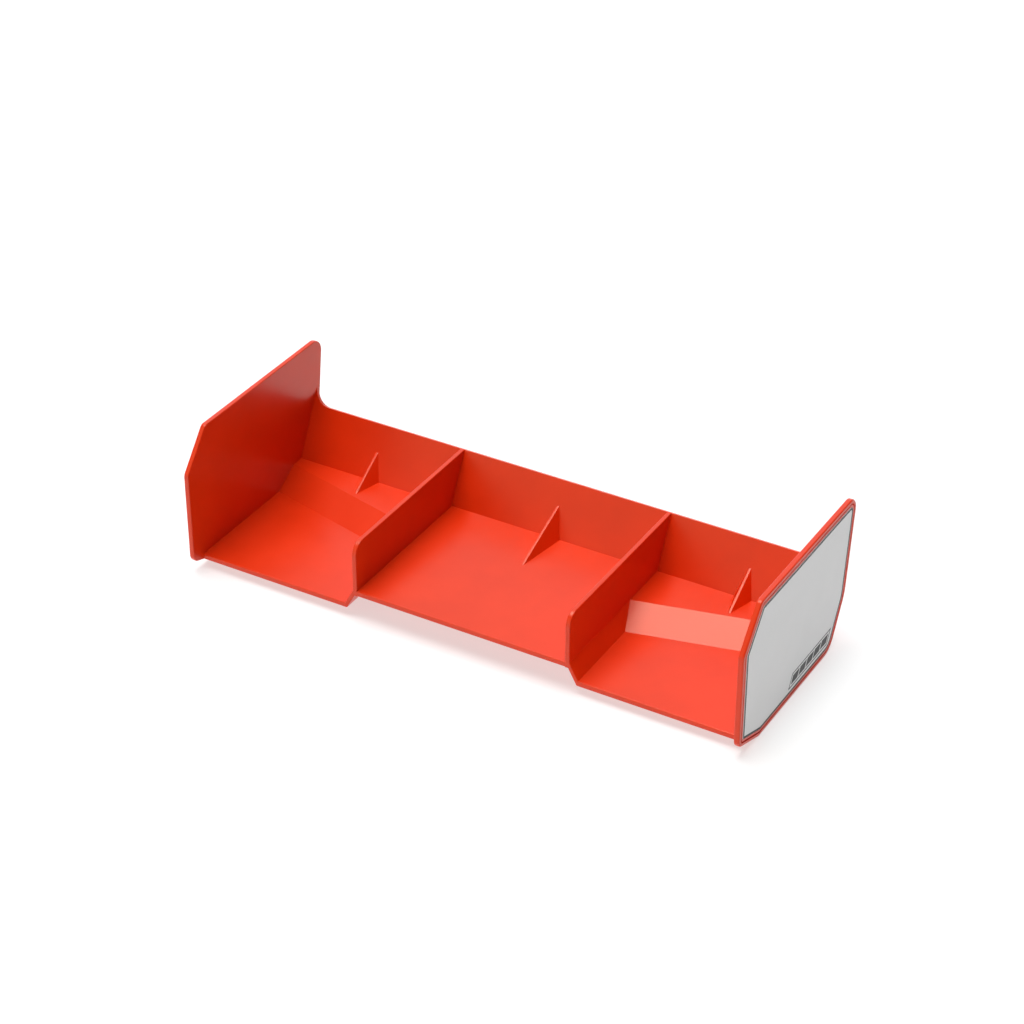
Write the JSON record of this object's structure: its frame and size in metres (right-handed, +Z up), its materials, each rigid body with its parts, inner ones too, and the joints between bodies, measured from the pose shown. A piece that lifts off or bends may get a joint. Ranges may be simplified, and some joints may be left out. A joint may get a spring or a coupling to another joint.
{
  "type": "radio-controlled buggy rear wing",
  "caption": "Moulded plastic rear wing tray with leaning rear wall, two dividers, skewed ramps, gussets and endplates with grey side panels.",
  "frame": {"origin": "middle of the underside of the bounding box, where the two endplates stand", "axes": "+X from the left endplate to the right one as seen from in front, the leading edge faces -Y, the rear wall faces +Y, +Z up out of the tray"},
  "size_m": [0.2146, 0.084, 0.0551],
  "materials": {
    "moulding": "satin moulded nylon, fire red, very fine even texture",
    "side_panel": "satin light grey sheet with a thin dark printed border"
  },
  "bodies": {
    "root": {"center_floor": "moulding", "center_gusset": "moulding", "left_corner_web": "moulding", "left_divider": "moulding", "left_endplate": "moulding", "left_floor": "moulding", "left_gusset": "moulding", "left_ramp": "moulding", "left_rear_shelf": "moulding", "left_side_panel": "side_panel", "left_skirt": "moulding", "rear_wall": "moulding", "right_corner_web": "moulding", "right_divider": "moulding", "right_endplate": "moulding", "right_floor": "moulding", "right_gusset": "moulding", "right_ramp": "moulding", "right_rear_shelf": "moulding", "right_side_panel": "side_panel", "right_skirt": "moulding"}
  },
  "joints": []
}
